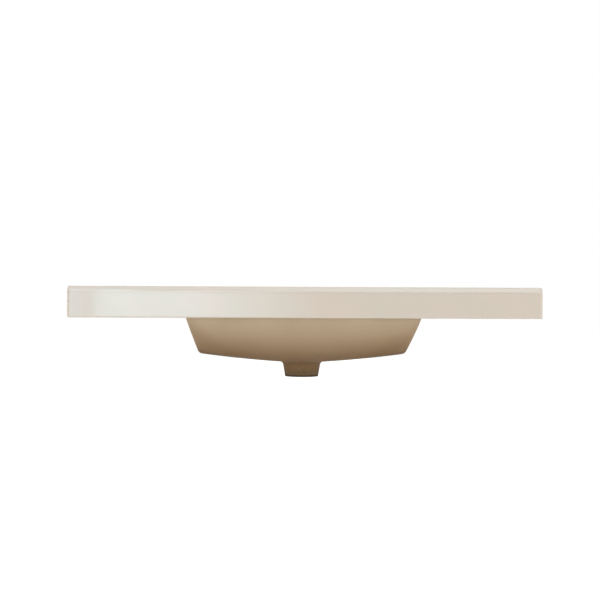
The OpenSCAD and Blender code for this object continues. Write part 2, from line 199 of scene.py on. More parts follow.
light_panel("rear_panel", (-0.5, 3.4, 0.3), (0.0, 0.0, 0.0), 3.0, 1.8, 1.8)

# Deck: one glazed panel, pressed and fired, with the basin's mouth and three faucet holes cut in it.
# Its edge leans back a hair as it rises and rolls over into the top; its underside is left unglazed.
deck_low, deck_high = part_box("deck_panel")
half_top = deck_high.x
front_y = deck_low.y
edge_h = deck_high.z
under_z = deck_low.z
corner_r = 5 * mm
top_ease_r = 2.6 * mm
seam_ease_r = 0.2 * mm
edge_lean = math.radians(12)

outlet_y = -279 * mm
half_mouth = 246 * mm
mouth_front = outlet_y - front_y - 115 * mm
mouth_rear = -outlet_y - 135 * mm
mouth_corner_r = 32 * mm
mouth_ease_r = 4 * mm

faucet_hole_r = 17.5 * mm
faucet_lip_r = 1 * mm
faucet_from_wall = 66 * mm
faucet_places = [-101.6 * mm, 0.0, 101.6 * mm]
past = 1 * mm


def arc(middle, radius, start, end, steps):
    """Points on a circle's arc in a section, as (distance, level); angles in degrees from the +distance."""
    angles = [math.radians(start + (end - start) * k / steps) for k in range(steps + 1)]
    return [(middle[0] + radius * math.cos(a), middle[1] + radius * math.sin(a)) for a in angles]


def lay_inputs(tree, names):
    """Names and types a tree's inputs, with its geometry first, and gives them by name."""
    tree.interface.new_socket("Geometry", in_out="INPUT", socket_type="NodeSocketGeometry")
    tree.interface.new_socket("Geometry", in_out="OUTPUT", socket_type="NodeSocketGeometry")
    for name, kind in names.items():
        tree.interface.new_socket(name, in_out="INPUT", socket_type="NodeSocket" + kind)
    return tree.nodes.new("NodeGroupInput").outputs


def end_tree(tree, geometry, material):
    """Ends a tree in plain faces of one material."""
    plain = add_node(tree, "GeometryNodeRealizeInstances", {"Geometry": geometry})
    painted = add_node(tree, "GeometryNodeSetMaterial", {"Geometry": plain.outputs[0], "Material": material})
    add_node(tree, "NodeGroupOutput", {"Geometry": painted.outputs[0]})


def wrapped_grid(tree, rows, columns):
    """A grid that wraps round on itself across: its mesh, and the row and the column of each point."""
    across = calc(tree, "ADD", columns, 1.0)
    counts = {"Vertices X": calc(tree, "ADD", rows, 1.0), "Vertices Y": across}
    grid = add_node(tree, "GeometryNodeMeshGrid", counts)
    index = tree.nodes.new("GeometryNodeInputIndex").outputs[0]
    row = calc(tree, "FLOOR", calc(tree, "DIVIDE", calc(tree, "ADD", index, 0.5), across))
    column = calc(tree, "SUBTRACT", index, calc(tree, "MULTIPLY", row, across))
    return grid.outputs["Mesh"], row, calc(tree, "FLOORED_MODULO", column, columns)


def close_skin(tree, mesh, x, y, z, material):
    """Puts a wrapped grid's points in their places, closes its seams and ends the tree."""
    spot = add_node(tree, "ShaderNodeCombineXYZ", {"X": x, "Y": y, "Z": z})
    shaped = add_node(tree, "GeometryNodeSetPosition", {"Geometry": mesh, "Position": spot.outputs[0]})
    closed = add_node(tree, "GeometryNodeMergeByDistance", {"Geometry": shaped.outputs[0], "Distance": weld})
    end_tree(tree, closed.outputs[0], material)


def outline_tree():
    """Skins a chain of levels: at each, a rectangle about the outlet's axis whose corners are round.

    Each point of the chain holds the outline's half width in X and its level in Z, and as attributes its
    front and rear reach, the radius of its front and rear corners, and how far it is glazed."""
    tree = bpy.data.node_groups.new("outline_skin", "GeometryNodeTree")
    given = lay_inputs(tree, {"Corner Steps": "Int", "Axis": "Float", "Material": "Material"})
    chain = given["Geometry"]
    steps = given["Corner Steps"]
    per_corner = calc(tree, "ADD", steps, 1.0)
    around = calc(tree, "MULTIPLY", per_corner, 4.0)
    size = add_node(tree, "GeometryNodeAttributeDomainSize", {"Geometry": chain}, component="MESH")
    levels = size.outputs["Point Count"]
    mesh, row, column = wrapped_grid(tree, levels, around)
    level = calc(tree, "FLOORED_MODULO", row, levels)
    corner = calc(tree, "FLOOR", calc(tree, "DIVIDE", calc(tree, "ADD", column, 0.5), per_corner))
    step = calc(tree, "SUBTRACT", column, calc(tree, "MULTIPLY", corner, per_corner))

    def at_level(value, kind):
        feeds = {"Geometry": chain, "Value": value, "Index": level}
        return add_node(tree, "GeometryNodeSampleIndex", feeds, data_type=kind, domain="POINT").outputs[0]

    def held(name):
        value = add_node(tree, "GeometryNodeInputNamedAttribute", {"Name": name}, data_type="FLOAT")
        return at_level(value.outputs[0], "FLOAT")

    place = at_level(tree.nodes.new("GeometryNodeInputPosition").outputs[0], "FLOAT_VECTOR")
    place = add_node(tree, "ShaderNodeSeparateXYZ", {0: place})
    at_front = calc(tree, "GREATER_THAN", corner, 1.5)

    def front_or_rear(name):
        feeds = {0: at_front, 2: held("rear_" + name), 3: held("front_" + name)}
        return add_node(tree, "ShaderNodeMix", feeds).outputs[0]

    radius = front_or_rear("corner")
    reach = front_or_rear("reach")
    angle = calc(tree, "MULTIPLY", calc(tree, "ADD", corner, calc(tree, "DIVIDE", step, steps)), math.pi / 2)
    # The middle of a corner's arc lies toward (1, 1), (-1, 1), (-1, -1) or (1, -1)
    heading = calc(tree, "MULTIPLY", calc(tree, "ADD", corner, 0.5), math.pi / 2)
    across = []
    for wave, half in (("COSINE", place.outputs["X"]), ("SINE", reach)):
        side = calc(tree, "SIGN", calc(tree, wave, heading))
        middle = calc(tree, "MULTIPLY", side, calc(tree, "SUBTRACT", half, radius))
        across.append(calc(tree, "MULTIPLY_ADD", radius, calc(tree, wave, angle), middle))
    x, y = across
    glazed = add_node(tree, "GeometryNodeStoreNamedAttribute",
                      {"Geometry": mesh, "Name": "glaze", "Value": held("glaze")},
                      data_type="FLOAT", domain="POINT")
    close_skin(tree, glazed.outputs[0], x, calc(tree, "ADD", y, given["Axis"]), place.outputs["Z"],
               given["Material"])
    return tree


def grow_by(obj, tree, inputs):
    """Runs a tree on an object, with its named inputs set, and keeps what it makes as a plain mesh."""
    modifier = obj.modifiers.new(tree.name, "NODES")
    modifier.node_group = tree
    for socket in tree.interface.items_tree:
        if socket.in_out == "INPUT" and socket.name in inputs:
            modifier[socket.identifier] = inputs[socket.name]
    settle(obj)


def settle(obj):
    """Makes what the modifiers give the object's own mesh, and takes the modifiers off."""
    bpy.context.view_layer.update()
    seen = obj.evaluated_get(bpy.context.evaluated_depsgraph_get())
    obj.data = bpy.data.meshes.new_from_object(seen)
    obj.data.name = obj.name
    obj.modifiers.clear()


def hold(obj, name, values):
    """Gives each point of a mesh a value of its own under a name."""
    obj.data.attributes.new(name, "FLOAT", "POINT").data.foreach_set("value", values)


def level(half, front, rear, corner, z, glaze=1.0, rear_corner=None):
    """One outline: its half width, front and rear reach, corner radius, level, and whether it is glazed."""
    return dict(half=half, z=z, front_reach=front, rear_reach=rear, front_corner=corner,
                rear_corner=corner if rear_corner is None else rear_corner, glaze=glaze)


# Points nearer than this are one
weld = 0.002 * mm
outline_skin = outline_tree()
held_names = ("front_reach", "rear_reach", "front_corner", "rear_corner", "glaze")


def skin(name, levels, material, corner_steps=12):
    """A closed piece through a loop of outlines."""
    piece = new_piece(name, [(step["half"], 0.0, step["z"]) for step in levels])
    for held in held_names:
        hold(piece, held, [step[held] for step in levels])
    grow_by(piece, outline_skin, {"Corner Steps": corner_steps, "Axis": outlet_y, "Material": material})
    return piece


def edit(obj, work):
    """Runs one piece of mesh work on an object and turns all its faces outward."""
    mesh = bmesh.new()
    mesh.from_mesh(obj.data)
    work(mesh)
    bmesh.ops.recalc_face_normals(mesh, faces=mesh.faces)
    mesh.to_mesh(obj.data)
    mesh.free()


def saw(obj, point, toward):
    """Cuts off what lies beyond a plane and closes the cut."""
    def work(mesh):
        everything = [*mesh.verts, *mesh.edges, *mesh.faces]
        cut = bmesh.ops.bisect_plane(mesh, geom=everything, dist=weld, plane_co=point, plane_no=toward,
                                     clear_outer=True)
        edges = [part for part in cut["geom_cut"] if isinstance(part, bmesh.types.BMEdge)]
        bmesh.ops.triangle_fill(mesh, use_beauty=True, use_dissolve=True, edges=edges)
    edit(obj, work)


def turned(name, loop, steps=48, limit=None):
    """A closed piece turned about Z from a loop of (radius, level); limit may cap the radius at an angle."""
    count = len(loop)
    points = []
    for k in range(steps):
        angle = 2 * math.pi * k / steps
        for radius, z in loop:
            reach = min(radius, limit(angle)) if limit else radius
            points.append((reach * math.cos(angle), reach * math.sin(angle), z))
    faces = [(k * count + j, (k + 1) % steps * count + j,
              (k + 1) % steps * count + (j + 1) % count, k * count + (j + 1) % count)
             for k in range(steps) for j in range(count)]
    piece = new_piece(name, points, faces)
    edit(piece, lambda made: bmesh.ops.remove_doubles(made, verts=made.verts, dist=weld))
    return piece


def joined(name, pieces):
    """Several pieces as one mesh, each with its place kept; the pieces go."""
    mesh = bmesh.new()
    for piece in pieces:
        copy = piece.data.copy()
        copy.transform(piece.matrix_basis)
        mesh.from_mesh(copy)
        bpy.data.meshes.remove(copy)
        bpy.data.objects.remove(piece)
    whole = new_piece(name)
    mesh.to_mesh(whole.data)
    mesh.free()
    return whole


def cut_away(obj, cutter):
    """Cuts one closed mesh out of another."""
    modifier = obj.modifiers.new("cut", "BOOLEAN")
    modifier.operation = "DIFFERENCE"
    modifier.solver = "EXACT"
    modifier.object = cutter
    settle(obj)
    bpy.data.objects.remove(cutter)


def smooth_off(obj, sharp):
    """Shades a piece smooth but for its sharp edges, with flat faces kept flat up to their rounds."""
    obj.data.shade_smooth()
    obj.data.set_sharp_from_angle(angle=math.radians(sharp))
    modifier = obj.modifiers.new("normals", "WEIGHTED_NORMAL")
    modifier.keep_sharp = True
    settle(obj)


def dress(obj, nodes, material=None, sharp=32):
    """Shades a finished piece and puts it in its node's place, on the part's one body."""
    smooth_off(obj, sharp)
    if material:
        obj.data.materials.clear()
        obj.data.materials.append(material)
    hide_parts(*nodes)
    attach(obj, "root")


def shader_group(name, inputs, outputs):
    """A group of shader nodes with named inputs, ready to be wired, and its input and output ends."""
    group = bpy.data.node_groups.new(name, "ShaderNodeTree")
    for socket, kind in inputs.items():
        group.interface.new_socket(socket, in_out="INPUT", socket_type="NodeSocket" + kind)
    for socket, kind in outputs.items():
        group.interface.new_socket(socket, in_out="OUTPUT", socket_type="NodeSocket" + kind)
    return group, group.nodes.new("NodeGroupInput").outputs, group.nodes.new("NodeGroupOutput").inputs


def mixed(tree, share, first, second):
    """Two colours mixed."""
    return add_node(tree, "ShaderNodeMix", {0: share, 6: first, 7: second}, data_type="RGBA").outputs[2]


def blended(tree, share, first, second):
    """Two values mixed."""
    return add_node(tree, "ShaderNodeMix", {0: share, 2: first, 3: second}).outputs[0]


# Soft drift of tone over a surface, as a glaze or a clay has from firing
tone_drift, given, result = shader_group(
    "tone_drift", {"Vector": "Vector", "Scale": "Float", "Pale": "Color", "Deep": "Color"},
    {"Colour": "Color", "Drift": "Float"})
clouds = add_node(tone_drift, "ShaderNodeTexNoise",
                  {"Vector": given["Vector"], "Scale": given["Scale"], "Detail": 3.0, "Roughness": 0.55})
drift = ramp(tone_drift, clouds.outputs[0], 0.32, 0.68)
tone_drift.links.new(drift, result["Drift"])
tone_drift.links.new(mixed(tone_drift, drift, given["Pale"], given["Deep"]), result["Colour"])

# Two sizes of grain as one height, from an orange-peel glaze to a sandy body
grain, given, result = shader_group(
    "grain", {"Vector": "Vector", "Coarse": "Float", "Fine": "Float", "Share": "Float"}, {"Height": "Float"})
coarse, fine = [
    add_node(grain, "ShaderNodeTexNoise", {"Vector": given["Vector"], "Scale": given[size], "Detail": detail})
    for size, detail in (("Coarse", 2.0), ("Fine", 3.0))]
grain.links.new(blended(grain, given["Share"], coarse.outputs[0], fine.outputs[0]), result["Height"])

# Scattered specks, as the grog in a clay body shows
specks, given, result = shader_group(
    "specks", {"Vector": "Vector", "Scale": "Float", "Size": "Float", "Share": "Float"}, {"Mask": "Float"})
cells = add_node(specks, "ShaderNodeTexVoronoi", {"Vector": given["Vector"], "Scale": given["Scale"]})
chance = add_node(specks, "ShaderNodeSeparateColor", {0: cells.outputs["Color"]}).outputs[0]
picked = calc(specks, "LESS_THAN", chance, given["Share"])
from_middle = calc(specks, "DIVIDE", cells.outputs["Distance"], given["Size"])
within = calc(specks, "SUBTRACT", 1.0, from_middle, clamp=True)
specks.links.new(calc(specks, "MULTIPLY", picked, within), result["Mask"])


def use_group(tree, group, place, **feeds):
    """A group at work in a material, with its other inputs by name; gives its outputs."""
    named = {name.capitalize(): value for name, value in feeds.items()}
    return add_node(tree, "ShaderNodeGroup", {"Vector": place, **named}, node_tree=group).outputs


def new_material(name):
    """A material's tree, its shader and its place on the object."""
    material = bpy.data.materials.new(name)
    material.use_nodes = True
    tree = material.node_tree
    place = tree.nodes.new("ShaderNodeTexCoord").outputs["Object"]
    return material, tree, tree.nodes["Principled BSDF"], place


def coat(tree, shader, colour, roughness, height, depth):
    """Gives the shader its colour, its roughness and a height, as a bump of that real depth."""
    bump = add_node(tree, "ShaderNodeBump", {"Height": height, "Distance": depth, "Strength": 1.0})
    for name, value in (("Base Color", colour), ("Roughness", roughness), ("Normal", bump.outputs[0])):
        tree.links.new(value, shader.inputs[name])


def glazed_ware(name, body_pale, body_deep, body_speck, body_grain, painted_shade=None):
    """Fired ware: a glossy glaze where the piece's glaze attribute is 1, and the bare body elsewhere.

    The last argument, if given, is painted shade on the bare body, as (bow, [(colour, from, to, share),
    ...]):
    how far the body turns to each darker colour in turn between two levels. The levels bow upward toward the
    ends, so the ends are shaded higher up, and the deepest of them bow the most."""
    material, tree, shader, place = new_material(name)
    reach = add_node(tree, "ShaderNodeAttribute", attribute_name="glaze").outputs["Fac"]
    ragged = add_node(tree, "ShaderNodeTexNoise", {"Vector": place, "Scale": 160.0, "Detail": 2.0}).outputs[0]
    edge = calc(tree, "ADD", reach, calc(tree, "MULTIPLY", calc(tree, "SUBTRACT", ragged, 0.5), 0.5))
    covered = ramp(tree, edge, 0.42, 0.58)
    glaze = use_group(tree, tone_drift, place, scale=9.0, pale=glaze_pink, deep=glaze_grey)
    body = use_group(tree, tone_drift, place, scale=14.0, pale=body_pale, deep=body_deep)
    grog = use_group(tree, specks, place, scale=420.0, size=0.42, share=0.3)["Mask"]
    bare = body["Colour"]
    # Painted shade: the bare body is darkened step by step toward its lower levels, and higher up toward the
    # ends
    if painted_shade:
        spot = add_node(tree, "ShaderNodeSeparateXYZ", {0: place}).outputs
        bow, steps = painted_shade
        deeper = calc(tree, "MULTIPLY_ADD", calc(tree, "MULTIPLY", spot["X"], spot["X"]), bow, 1.0)
        height = calc(tree, "MULTIPLY", spot["Z"], deeper)
        for colour, start, end, share in steps:
            bare = mixed(tree, ramp(tree, height, end, start, share, 0.0), bare, colour)
    bare = mixed(tree, calc(tree, "MULTIPLY", grog, 0.55), bare, body_speck)
    gloss = ramp(tree, glaze["Drift"], 0.0, 1.0, 0.05, 0.09)
    matt = ramp(tree, body["Drift"], 0.0, 1.0, 0.72, 0.86)
    peel = use_group(tree, grain, place, coarse=90.0, fine=320.0, share=0.35)["Height"]
    sand = use_group(tree, grain, place, coarse=260.0, fine=1100.0, share=0.5)["Height"]
    rough, even = calc(tree, "MULTIPLY", sand, body_grain), calc(tree, "MULTIPLY", peel, glaze_peel)
    coat(tree, shader, mixed(tree, covered, bare, glaze["Colour"]), blended(tree, covered, matt, gloss),
         blended(tree, covered, rough, even), 1 * mm)
    return material


glaze_pink = (0.656, 0.536, 0.451, 1)
glaze_grey = (0.606, 0.531, 0.438, 1)
glaze_peel = 0.03
panel_ware = glazed_ware("panel_ware", (0.56, 0.47, 0.37, 1), (0.50, 0.41, 0.32, 1),
                         (0.33, 0.26, 0.20, 1), 0.16)


behind_wall = 20 * mm


def about_axis(inset, z, glaze=1.0):
    """The top's own outline, drawn in by a distance; it runs on behind the wall, where it is sawn off."""
    return level(half_top - inset, outlet_y - front_y - inset, -outlet_y + behind_wall,
                 max(corner_r - inset, 0.0), z, glaze, rear_corner=0.0)


def about_mouth(grow, z, glaze=1.0):
    """The basin's mouth, grown by a distance."""
    return level(half_mouth + grow, mouth_front + grow, mouth_rear + grow, mouth_corner_r + grow, z, glaze)


def seam_ease(way):
    """The eased arris where the deck and the aprons meet, above the seam (1) or below it (-1)."""
    return [(seam_ease_r * (1 - math.sin(a)), under_z + way * seam_ease_r * (1 - math.cos(a)))
            for a in (0.0, math.pi / 4, math.pi / 2)]


lean_steps = 8
lean_top_z = edge_h - top_ease_r
edge_section = seam_ease(1)
for k in range(1, lean_steps + 1):
    # The lean grows evenly, so the setback grows by each step's own slope
    setback, z = edge_section[-1]
    rise = (lean_top_z - under_z - seam_ease_r) / lean_steps
    edge_section.append((setback + rise * math.tan(edge_lean * (k - 0.5) / lean_steps), z + rise))
setback = edge_section[-1][0]
roll_steps = 8
for k in range(1, roll_steps + 1):
    a = edge_lean + (math.pi / 2 - edge_lean) * k / roll_steps
    climbed = (math.sin(a) - math.sin(edge_lean)) / (1 - math.sin(edge_lean))
    edge_section.append((setback + top_ease_r * (math.cos(edge_lean) - math.cos(a)),
                         lean_top_z + top_ease_r * climbed))
# The glaze ends this far above the underside in the mouth, and this far in under the edge
glaze_stops = 0.5 * mm
glaze_under = 2 * mm
mouth_section = arc((mouth_ease_r, edge_h - mouth_ease_r), mouth_ease_r, 90, 180, 8)
deck_levels = [about_axis(inset, z) for inset, z in edge_section]
deck_levels += [about_mouth(grow, z) for grow, z in mouth_section]
deck_levels += [about_mouth(0.0, under_z + glaze_stops), about_mouth(0.0, under_z, 0.0)]
deck_levels += [about_axis(glaze_under, under_z, 0.0)]
deck = skin("deck_panel_glazed", deck_levels, panel_ware)
saw(deck, (0, 0, 0), (0, 1, 0))

# The lip's round ends a hair above the top, so that the top cuts it cleanly
lip_over = 0.02 * mm
lip_middle = (faucet_hole_r + faucet_lip_r, edge_h + lip_over - faucet_lip_r)
faucet_drill = [(0.0, under_z - past), (faucet_hole_r, under_z - past)]
faucet_drill += arc(lip_middle, faucet_lip_r, 180, 90, 6)
faucet_drill += [(faucet_hole_r + faucet_lip_r, edge_h + past), (0.0, edge_h + past)]
drills = []
for x in faucet_places:
    drill = turned("faucet_drill", faucet_drill, steps=64)
    drill.matrix_basis = Matrix.Translation((x, -faucet_from_wall, 0))
    drills.append(drill)

# Places of the clips that hold the bowl, and the way that each faces, away from the basin
flange_low, flange_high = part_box("bowl")
flange_corner_r = 69 * mm
stud_r = 3 * mm
stud_out = 6 * mm
clip_w = 18 * mm
front_clip_x = half_mouth / 2
clip_off_corner = 8 * mm
rear_clip_x = flange_high.x - flange_corner_r - clip_off_corner - clip_w / 2
side_clip_y = (mouth_front + mouth_rear) / 6
mouth_middle_y = outlet_y + (mouth_rear - mouth_front) / 2
clip_places = []
for side in (-1, 1):
    clip_places += [(side * front_clip_x, flange_low.y, math.pi), (side * rear_clip_x, flange_high.y, 0.0)]
    clip_places += [(side * flange_high.x, mouth_middle_y + along * side_clip_y, -side * math.pi / 2)
                    for along in (-1, 1)]

insert_r = 4.5 * mm
insert_h = 7 * mm
hole_gap = 0.2 * mm


def straight_drill(name, radius, low, high, steps):
    return turned(name, [(0.0, low), (radius, low), (radius, high), (0.0, high)], steps)


for x, y, facing in clip_places:
    drill = straight_drill("insert_drill", insert_r + hole_gap, under_z - past, under_z + insert_h, steps=32)
    away = Vector((-math.sin(facing), math.cos(facing), 0)) * stud_out
    drill.matrix_basis = Matrix.Translation(Vector((x, y, 0)) + away)
    drills.append(drill)
cut_away(deck, joined("drills", drills))


def glaze_where(obj, rule):
    """Glazes each point of a mesh as a rule on its place says; None leaves it as it is."""
    values = obj.data.attributes["glaze"].data
    for point, value in zip(obj.data.vertices, values):
        told = rule(point.co)
        if told is not None:
            value.value = told


glaze_where(deck, lambda spot: float(spot.z > under_z + seam_ease_r / 2))
dress(deck, ["deck_panel"])

# Inserts: eight grooved brass inserts bonded into blind holes in the deck's underside. Each takes the
# stud of one clip.
thread_gap = 0.05 * mm
tapped_r = stud_r + thread_gap
insert_groove = 0.35 * mm
insert_arris = 0.4 * mm


def at_clips_tree():
    """One copy of a piece at each clip's place, turned the way that the clip faces."""
    tree = bpy.data.node_groups.new("at_clips", "GeometryNodeTree")
    given = lay_inputs(tree, {"Piece": "Object", "Material": "Material"})
    facing = add_node(tree, "GeometryNodeInputNamedAttribute", {"Name": "facing"}, data_type="FLOAT")
    turn = add_node(tree, "ShaderNodeCombineXYZ", {"Z": facing.outputs[0]})
    piece = add_node(tree, "GeometryNodeObjectInfo", {"Object": given["Piece"]})
    points = add_node(tree, "GeometryNodeMeshToPoints", {"Mesh": given["Geometry"]})
    copies = add_node(tree, "GeometryNodeInstanceOnPoints",
                      {"Points": points.outputs[0], "Instance": piece.outputs["Geometry"],
                       "Rotation": turn.outputs[0]})
    end_tree(tree, copies.outputs[0], given["Material"])
    return tree


at_clips = at_clips_tree()


def copy_to_clips(name, pattern, material):
    """The same piece at all the clips, as one mesh; the pattern is drawn at the first clip's own origin."""
    piece = new_piece(name, [(x, y, 0.0) for x, y, facing in clip_places])
    hold(piece, "facing", [facing for x, y, facing in clip_places])
    grow_by(piece, at_clips, {"Piece": pattern, "Material": material})
    bpy.data.objects.remove(pattern)
    return piece


def out_to_stud(pattern):
    """Moves a turned pattern from its own axis out to the stud's."""
    pattern.data.transform(Matrix.Translation((0, stud_out, 0)))
    return pattern


def one_stuff(name, drift, pale, deep, gloss, grains, depth, fixed=None):
    """A material of one stuff, whose tone and roughness each drift between two values.

    grains is (coarse, fine, share), depth is the grain's height, and fixed holds other shader inputs."""
    material, tree, shader, place = new_material(name)
    tone = use_group(tree, tone_drift, place, scale=drift, pale=pale, deep=deep)
    coarse, fine, share = grains
    height = use_group(tree, grain, place, coarse=coarse, fine=fine, share=share)["Height"]
    coat(tree, shader, tone["Colour"], ramp(tree, tone["Drift"], 0.0, 1.0, *gloss), height, depth)
    for key, value in (fixed or {}).items():
        shader.inputs[key].default_value = value
    return material


def metal(name, pale, deep, gloss, dent):
    """Plain metal with fine dents."""
    return one_stuff(name, 60.0, pale, deep, gloss, (360.0, 1800.0, 0.5), dent, {"Metallic": 1.0})


brass_bar = metal("brass_bar", (0.80, 0.60, 0.28, 1), (0.62, 0.44, 0.18, 1), (0.22, 0.40), 0.05 * mm)
insert_loop = [(tapped_r + insert_arris, under_z), (insert_r - insert_arris, under_z),
               (insert_r, under_z + insert_arris)]
for k in range(1, 4):
    groove_z = under_z + insert_h * k / 4
    insert_loop += [(insert_r, groove_z - insert_groove), (insert_r - insert_groove, groove_z),
                    (insert_r, groove_z + insert_groove)]
insert_loop += [(insert_r, under_z + insert_h), (tapped_r, under_z + insert_h),
                (tapped_r, under_z + insert_arris)]
inserts = copy_to_clips("brass_inserts", out_to_stud(turned("insert", insert_loop, steps=40)), brass_bar)
dress(inserts, ["clip_inserts"])

# Aprons: strips of the same panel on edge around the front and the two ends, glued up under the deck.
# They meet in mitres at the front corners. Their eased bottom edge, which they stand on in the kiln, and
# their inner face are left bare.
apron_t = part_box("front_apron")[1].y - front_y
bottom_ease_r = 0.5 * mm
foot_roll_r = 20 * mm
foot_roll = math.radians(8)
bare_foot = 0.1 * mm
inner_arris = 0.6 * mm
band_section = [(inset, z, 1.0) for inset, z in seam_ease(-1)]
# The face rolls in a little toward its foot, and a smaller round ends it
foot_middle = (foot_roll_r - (foot_roll_r - bottom_ease_r) * math.cos(foot_roll), bottom_ease_r)
roll_middle = (foot_roll_r, bottom_ease_r + (foot_roll_r - bottom_ease_r) * math.sin(foot_roll))
foot_section = arc(roll_middle, foot_roll_r, 180, 180 + math.degrees(foot_roll), 6)
foot_section += arc(foot_middle, bottom_ease_r, 180 + math.degrees(foot_roll), 270, 8)[1:]
band_section += [(inset, z, float(z > bare_foot)) for inset, z in foot_section]
band_section += [(apron_t - inner_arris, 0.0, 0.0), (apron_t, inner_arris, 0.0), (apron_t, under_z, 0.0)]
band_levels = [about_axis(inset, z, glaze) for inset, z, glaze in band_section]
mitre_sides = {"front_apron": (-1, 1), "left_apron": (-1,), "right_apron": (1,)}
for strip, sides in mitre_sides.items():
    apron = skin(strip + "_glazed", band_levels, panel_ware)
    saw(apron, (0, 0, 0), (0, 1, 0))
    for side in sides:
        away = Vector((side, 1, 0)) if strip == "front_apron" else Vector((-side, -1, 0))
        saw(apron, (side * half_top, front_y, 0), away)
    dress(apron, [strip])

# Rails: strips of birch plywood glued under the deck, on edge, so that the plies show from below. The
# front and rear ones run right across, the end and cross ones fit between those two.
rail_arris = 0.5 * mm
ply_t = 1.4 * mm
ply_relief = 0.12 * mm


def plywood(name, along):
    """Birch plywood for a rail that runs along X or Y: plies stand side by side across its width."""
    material, tree, shader, place = new_material(name)
    across = add_node(tree, "ShaderNodeSeparateXYZ", {0: place}).outputs["Y" if along == "X" else "X"]
    ply = calc(tree, "DIVIDE", across, ply_t)
    order = calc(tree, "FLOORED_MODULO", calc(tree, "FLOOR", ply), 2.0)
    # 0.5 at the glue lines, where one ply meets the next, and 0 in the middle of a ply
    from_middle = calc(tree, "PINGPONG", calc(tree, "ADD", calc(tree, "FRACT", ply), 0.5), 0.5)
    glue = ramp(tree, from_middle, 0.44, 0.5)
    stretch = (6.0, 120.0, 120.0) if along == "X" else (120.0, 6.0, 120.0)
    run = add_node(tree, "ShaderNodeVectorMath", {0: place, 1: stretch}, operation="MULTIPLY").outputs[0]
    fibres = use_group(tree, tone_drift, run, scale=3.0, pale=(0.72, 0.55, 0.36, 1),
                       deep=(0.58, 0.41, 0.24, 1))
    end_grain = use_group(tree, tone_drift, place, scale=900.0, pale=(0.60, 0.43, 0.26, 1),
                          deep=(0.46, 0.31, 0.17, 1))
    wood = mixed(tree, calc(tree, "MULTIPLY", order, 0.85), fibres["Colour"], end_grain["Colour"])
    wood = mixed(tree, calc(tree, "MULTIPLY", glue, 0.7), wood, (0.22, 0.13, 0.07, 1))
    roughness = ramp(tree, fibres["Drift"], 0.0, 1.0, 0.55, 0.75)
    coat(tree, shader, wood, roughness, calc(tree, "SUBTRACT", fibres["Drift"], glue), ply_relief)
    return material


plywood_across = plywood("plywood_across", "X")
plywood_along = plywood("plywood_along", "Y")


def rail(node, material):
    """One rail, cut square, with its arrises knocked off."""
    low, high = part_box(node)
    block = Matrix.Translation((low + high) / 2) @ Matrix.Diagonal((*(high - low), 1))
    piece = new_piece(node + "_ply")

    def work(mesh):
        bmesh.ops.create_cube(mesh, size=1.0, matrix=block)
        bmesh.ops.bevel(mesh, geom=mesh.edges[:], offset=rail_arris, segments=2, profile=0.5, affect="EDGES")
    edit(piece, work)
    dress(piece, [node], material)


for node in ("front_rail", "rear_rail"):
    rail(node, plywood_across)
for node in ("left_rail", "right_rail", "left_cross_rail", "right_cross_rail"):
    rail(node, plywood_along)

# Seal: a bead of neutral-cure silicone laid round the mouth before the bowl is offered up. It spreads
# to a thin even layer between flange and deck and shows as a fine line inside the basin.
rim_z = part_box("bowl_seal")[0].z
seal_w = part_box("bowl_seal")[1].x - half_mouth
seal_bulge = 0.35 * mm

silicone = one_stuff("silicone_bead", 30.0, (0.80, 0.785, 0.75, 1), (0.74, 0.725, 0.69, 1), (0.28, 0.42),
                     (40.0, 220.0, 0.3), 0.2 * mm,
                     {"Subsurface Weight": 0.15, "Subsurface Radius": (2 * mm, 2 * mm, 2 * mm)})

bead_levels = []
seal_middle = (rim_z + under_z) / 2
seal_half_t = (under_z - rim_z) / 2
# The bead bulges into the mouth on one side and out over the flange on the other
for edge, way in ((hole_gap, -1), (seal_w - seal_bulge, 1)):
    for k in range(7):
        a = math.radians(way * (90 - 30 * k))
        bead_levels.append(about_mouth(edge + way * seal_bulge * math.cos(a),
                                       seal_middle + seal_half_t * math.sin(a)))
bead = skin("silicone_seal", bead_levels, silicone)
dress(bead, ["bowl_seal"], sharp=60)

# Bowl: slip-cast in one piece, its inside glazed like the deck and its outside left as bare tan clay.
# Its end walls lean, its front and rear walls curve in under it, and its floor falls to the outlet.
floor_z = edge_h - 149 * mm
wall_t = 12 * mm
bowl_under_z = floor_z - wall_t
boss_mouth_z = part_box("bowl")[0].z
end_lean = math.radians(16)
floor_rise = 18.5 * mm
floor_bow = 0.37
front_fullness, rear_fullness = 2, 3
corner_growth = 2.5
shell_corner_r = 12 * mm
foot_inside, foot_outside = 22 * mm, 6 * mm
flange_t = 10 * mm
flange_round = 1.5 * mm
under_flange_r = 4 * mm
rim_round = 0.8 * mm
rim_glazed, rim_bare = 2 * mm, 3 * mm

outlet_r = 22.5 * mm
boss_r = 36 * mm
boss_lean = math.radians(6.5)
boss_fillet_r = 10 * mm
boss_round = 1 * mm
waste_seat_r, waste_seat_h = 33 * mm, 2.5 * mm
boss_top_r = boss_r + (bowl_under_z - boss_mouth_z) * math.tan(boss_lean)
hub_inside = waste_seat_r + 4 * mm
hub_outside = boss_top_r + boss_fillet_r + 2 * mm
half_shell = half_mouth + wall_t / math.cos(end_lean)
shell_front, shell_rear = mouth_front + wall_t, mouth_rear + wall_t


def between(a, b, share):
    return a + (b - a) * share


